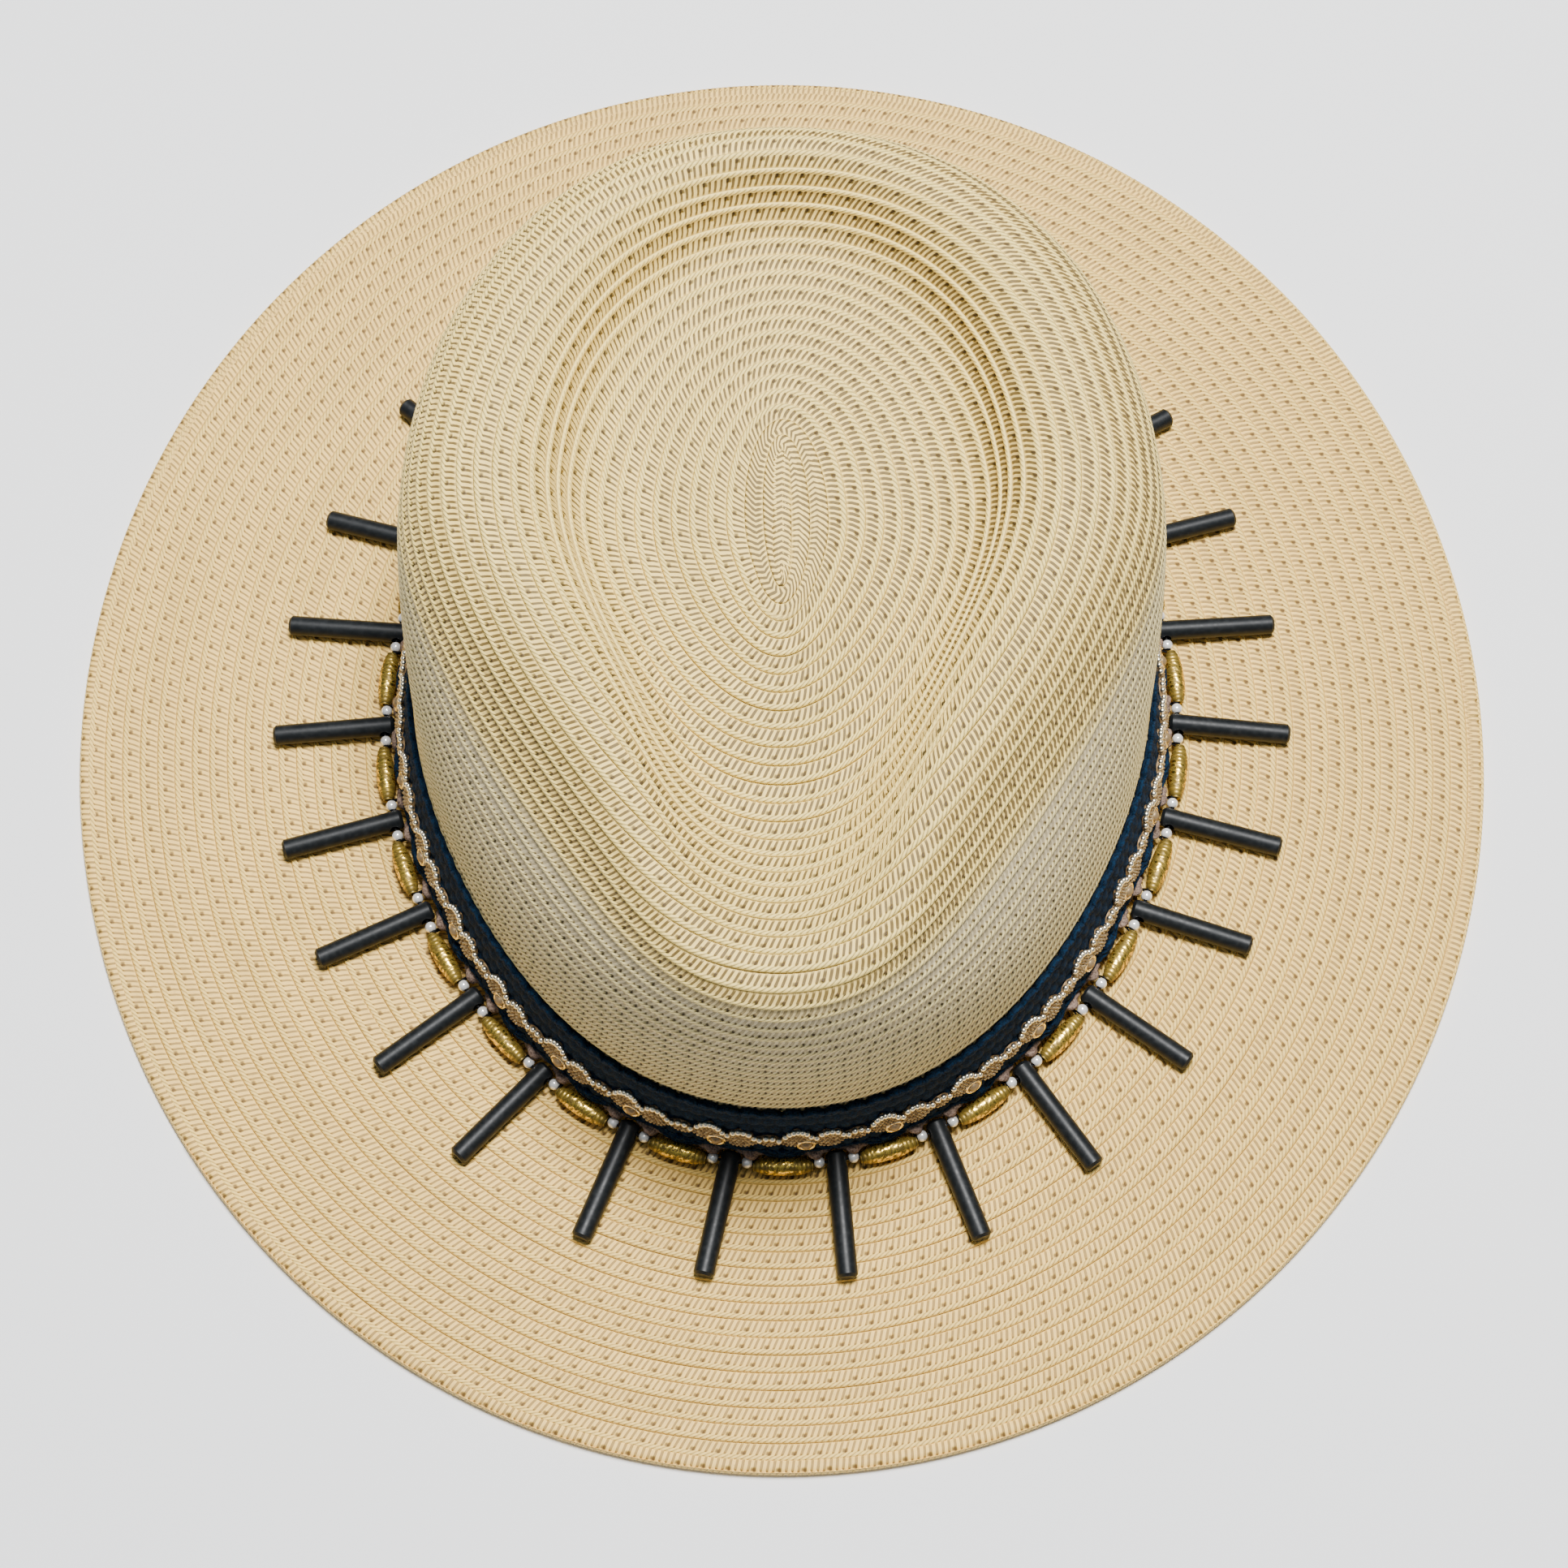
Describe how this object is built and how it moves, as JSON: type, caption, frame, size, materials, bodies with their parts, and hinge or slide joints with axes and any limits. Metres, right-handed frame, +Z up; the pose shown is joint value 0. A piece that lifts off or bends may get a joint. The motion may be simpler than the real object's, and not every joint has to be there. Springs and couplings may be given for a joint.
{
  "type": "wide-brimmed straw sun hat",
  "caption": "Wide flat-brimmed straw sun hat with a pinched teardrop crown, a crocheted band, scroll trim and a bead string of loose hanging tubes.",
  "frame": {"origin": "middle of the brim's flat underside, on the surface that the hat lies on", "axes": "+Z up through the crown, -Y to the pinched front, +Y to the back, +X to the wearer's left"},
  "size_m": [0.326, 0.3518, 0.105],
  "materials": {
    "straw": "matt braided paper straw",
    "sweatband": "matt ribbed ribbon",
    "navy_braid": "matt crocheted yarn",
    "gold_trim": "satin champagne gold",
    "black_thread": "waxed thread",
    "antique_gold": "polished, dark in the grooves",
    "silver_beads": "polished",
    "black_tubes": "satin black"
  },
  "bodies": {
    "hat": {"straw_crown": "straw", "straw_brim": "straw", "sweatband": "sweatband", "crochet_band": "navy_braid", "scroll_trim": "gold_trim", "trim_studs": "gold_trim", "bead_thread": "black_thread", "spindle_beads": "antique_gold", "spacer_beads": "silver_beads", "tie_threads": "black_thread"},
    "hanging_tube_01": {"hanging_tube_01": "black_tubes"},
    "hanging_tube_02": {"hanging_tube_02": "black_tubes"},
    "hanging_tube_03": {"hanging_tube_03": "black_tubes"},
    "hanging_tube_04": {"hanging_tube_04": "black_tubes"},
    "hanging_tube_05": {"hanging_tube_05": "black_tubes"},
    "hanging_tube_06": {"hanging_tube_06": "black_tubes"},
    "hanging_tube_07": {"hanging_tube_07": "black_tubes"},
    "hanging_tube_08": {"hanging_tube_08": "black_tubes"},
    "hanging_tube_09": {"hanging_tube_09": "black_tubes"},
    "hanging_tube_10": {"hanging_tube_10": "black_tubes"},
    "hanging_tube_11": {"hanging_tube_11": "black_tubes"},
    "hanging_tube_12": {"hanging_tube_12": "black_tubes"},
    "hanging_tube_13": {"hanging_tube_13": "black_tubes"},
    "hanging_tube_14": {"hanging_tube_14": "black_tubes"},
    "hanging_tube_15": {"hanging_tube_15": "black_tubes"},
    "hanging_tube_16": {"hanging_tube_16": "black_tubes"},
    "hanging_tube_17": {"hanging_tube_17": "black_tubes"},
    "hanging_tube_18": {"hanging_tube_18": "black_tubes"},
    "hanging_tube_19": {"hanging_tube_19": "black_tubes"},
    "hanging_tube_20": {"hanging_tube_20": "black_tubes"},
    "hanging_tube_21": {"hanging_tube_21": "black_tubes"},
    "hanging_tube_22": {"hanging_tube_22": "black_tubes"},
    "hanging_tube_23": {"hanging_tube_23": "black_tubes"},
    "hanging_tube_24": {"hanging_tube_24": "black_tubes"},
    "hanging_tube_25": {"hanging_tube_25": "black_tubes"},
    "hanging_tube_26": {"hanging_tube_26": "black_tubes"}
  },
  "joints": [
    {"name": "hanging_tube_01_swing", "type": "hinge", "parent": "hat", "child": "hanging_tube_01", "pos_m": [0.01204, -0.10875, 0.0055], "axis": [-0.9963, -0.0861, 0], "range_deg": [0, 75]},
    {"name": "hanging_tube_02_swing", "type": "hinge", "parent": "hat", "child": "hanging_tube_02", "pos_m": [0.03445, -0.10162, 0.0055], "axis": [-0.9344, -0.3563, 0], "range_deg": [0, 75]},
    {"name": "hanging_tube_03_swing", "type": "hinge", "parent": "hat", "child": "hanging_tube_03", "pos_m": [0.05397, -0.08841, 0.0055], "axis": [-0.8166, -0.5772, 0], "range_deg": [0, 75]},
    {"name": "hanging_tube_04_swing", "type": "hinge", "parent": "hat", "child": "hanging_tube_04", "pos_m": [0.06968, -0.07072, 0.0055], "axis": [-0.5826, -0.8128, 0], "range_deg": [0, 75]},
    {"name": "hanging_tube_05_swing", "type": "hinge", "parent": "hat", "child": "hanging_tube_05", "pos_m": [0.08145, -0.05008, 0.0055], "axis": [-0.3132, -0.9497, 0], "range_deg": [0, 75]},
    {"name": "hanging_tube_06_swing", "type": "hinge", "parent": "hat", "child": "hanging_tube_06", "pos_m": [0.08915, -0.0275, 0.0055], "axis": [-0.2576, -0.9663, 0], "range_deg": [0, 75]},
    {"name": "hanging_tube_07_swing", "type": "hinge", "parent": "hat", "child": "hanging_tube_07", "pos_m": [0.09209, -0.00371, 0.0055], "axis": [-0.0879, -0.9961, 0], "range_deg": [0, 75]},
    {"name": "hanging_tube_08_swing", "type": "hinge", "parent": "hat", "child": "hanging_tube_08", "pos_m": [0.09002, 0.02029, 0.0055], "axis": [0.0804, -0.9968, 0], "range_deg": [0, 75]},
    {"name": "hanging_tube_09_swing", "type": "hinge", "parent": "hat", "child": "hanging_tube_09", "pos_m": [0.08324, 0.04352, 0.0055], "axis": [0.2805, -0.9599, 0], "range_deg": [0, 75]},
    {"name": "hanging_tube_10_swing", "type": "hinge", "parent": "hat", "child": "hanging_tube_10", "pos_m": [0.07173, 0.06491, 0.0055], "axis": [0.5136, -0.858, 0], "range_deg": [0, 75]},
    {"name": "hanging_tube_11_swing", "type": "hinge", "parent": "hat", "child": "hanging_tube_11", "pos_m": [0.05558, 0.08316, 0.0055], "axis": [0.7869, -0.6171, 0], "range_deg": [0, 75]},
    {"name": "hanging_tube_12_swing", "type": "hinge", "parent": "hat", "child": "hanging_tube_12", "pos_m": [0.03527, 0.09672, 0.0055], "axis": [0.8615, -0.5078, 0], "range_deg": [0, 75]},
    {"name": "hanging_tube_13_swing", "type": "hinge", "parent": "hat", "child": "hanging_tube_13", "pos_m": [0.01193, 0.104, 0.0055], "axis": [0.9935, -0.114, 0], "range_deg": [0, 75]},
    {"name": "hanging_tube_14_swing", "type": "hinge", "parent": "hat", "child": "hanging_tube_14", "pos_m": [-0.01252, 0.1039, 0.0055], "axis": [0.966, 0.2584, 0], "range_deg": [0, 75]},
    {"name": "hanging_tube_15_swing", "type": "hinge", "parent": "hat", "child": "hanging_tube_15", "pos_m": [-0.03581, 0.09646, 0.0055], "axis": [0.9211, 0.3894, 0], "range_deg": [0, 75]},
    {"name": "hanging_tube_16_swing", "type": "hinge", "parent": "hat", "child": "hanging_tube_16", "pos_m": [-0.05603, 0.08276, 0.0055], "axis": [0.7013, 0.7129, 0], "range_deg": [0, 75]},
    {"name": "hanging_tube_17_swing", "type": "hinge", "parent": "hat", "child": "hanging_tube_17", "pos_m": [-0.07207, 0.06441, 0.0055], "axis": [0.6505, 0.7595, 0], "range_deg": [0, 75]},
    {"name": "hanging_tube_18_swing", "type": "hinge", "parent": "hat", "child": "hanging_tube_18", "pos_m": [-0.08347, 0.04296, 0.0055], "axis": [0.2755, 0.9613, 0], "range_deg": [0, 75]},
    {"name": "hanging_tube_19_swing", "type": "hinge", "parent": "hat", "child": "hanging_tube_19", "pos_m": [-0.09012, 0.0197, 0.0055], "axis": [0.0928, 0.9957, 0], "range_deg": [0, 75]},
    {"name": "hanging_tube_20_swing", "type": "hinge", "parent": "hat", "child": "hanging_tube_20", "pos_m": [-0.09208, -0.00431, 0.0055], "axis": [-0.0756, 0.9971, 0], "range_deg": [0, 75]},
    {"name": "hanging_tube_21_swing", "type": "hinge", "parent": "hat", "child": "hanging_tube_21", "pos_m": [-0.08901, -0.02808, 0.0055], "axis": [-0.2625, 0.9649, 0], "range_deg": [0, 75]},
    {"name": "hanging_tube_22_swing", "type": "hinge", "parent": "hat", "child": "hanging_tube_22", "pos_m": [-0.0812, -0.05063, 0.0055], "axis": [-0.4152, 0.9097, 0], "range_deg": [0, 75]},
    {"name": "hanging_tube_23_swing", "type": "hinge", "parent": "hat", "child": "hanging_tube_23", "pos_m": [-0.06933, -0.07121, 0.0055], "axis": [-0.6009, 0.7993, 0], "range_deg": [0, 75]},
    {"name": "hanging_tube_24_swing", "type": "hinge", "parent": "hat", "child": "hanging_tube_24", "pos_m": [-0.05352, -0.08881, 0.0055], "axis": [-0.7206, 0.6933, 0], "range_deg": [0, 75]},
    {"name": "hanging_tube_25_swing", "type": "hinge", "parent": "hat", "child": "hanging_tube_25", "pos_m": [-0.03391, -0.10188, 0.0055], "axis": [-0.9242, 0.382, 0], "range_deg": [0, 75]},
    {"name": "hanging_tube_26_swing", "type": "hinge", "parent": "hat", "child": "hanging_tube_26", "pos_m": [-0.01145, -0.10884, 0.0055], "axis": [-0.9763, 0.2164, 0], "range_deg": [0, 75]}
  ]
}
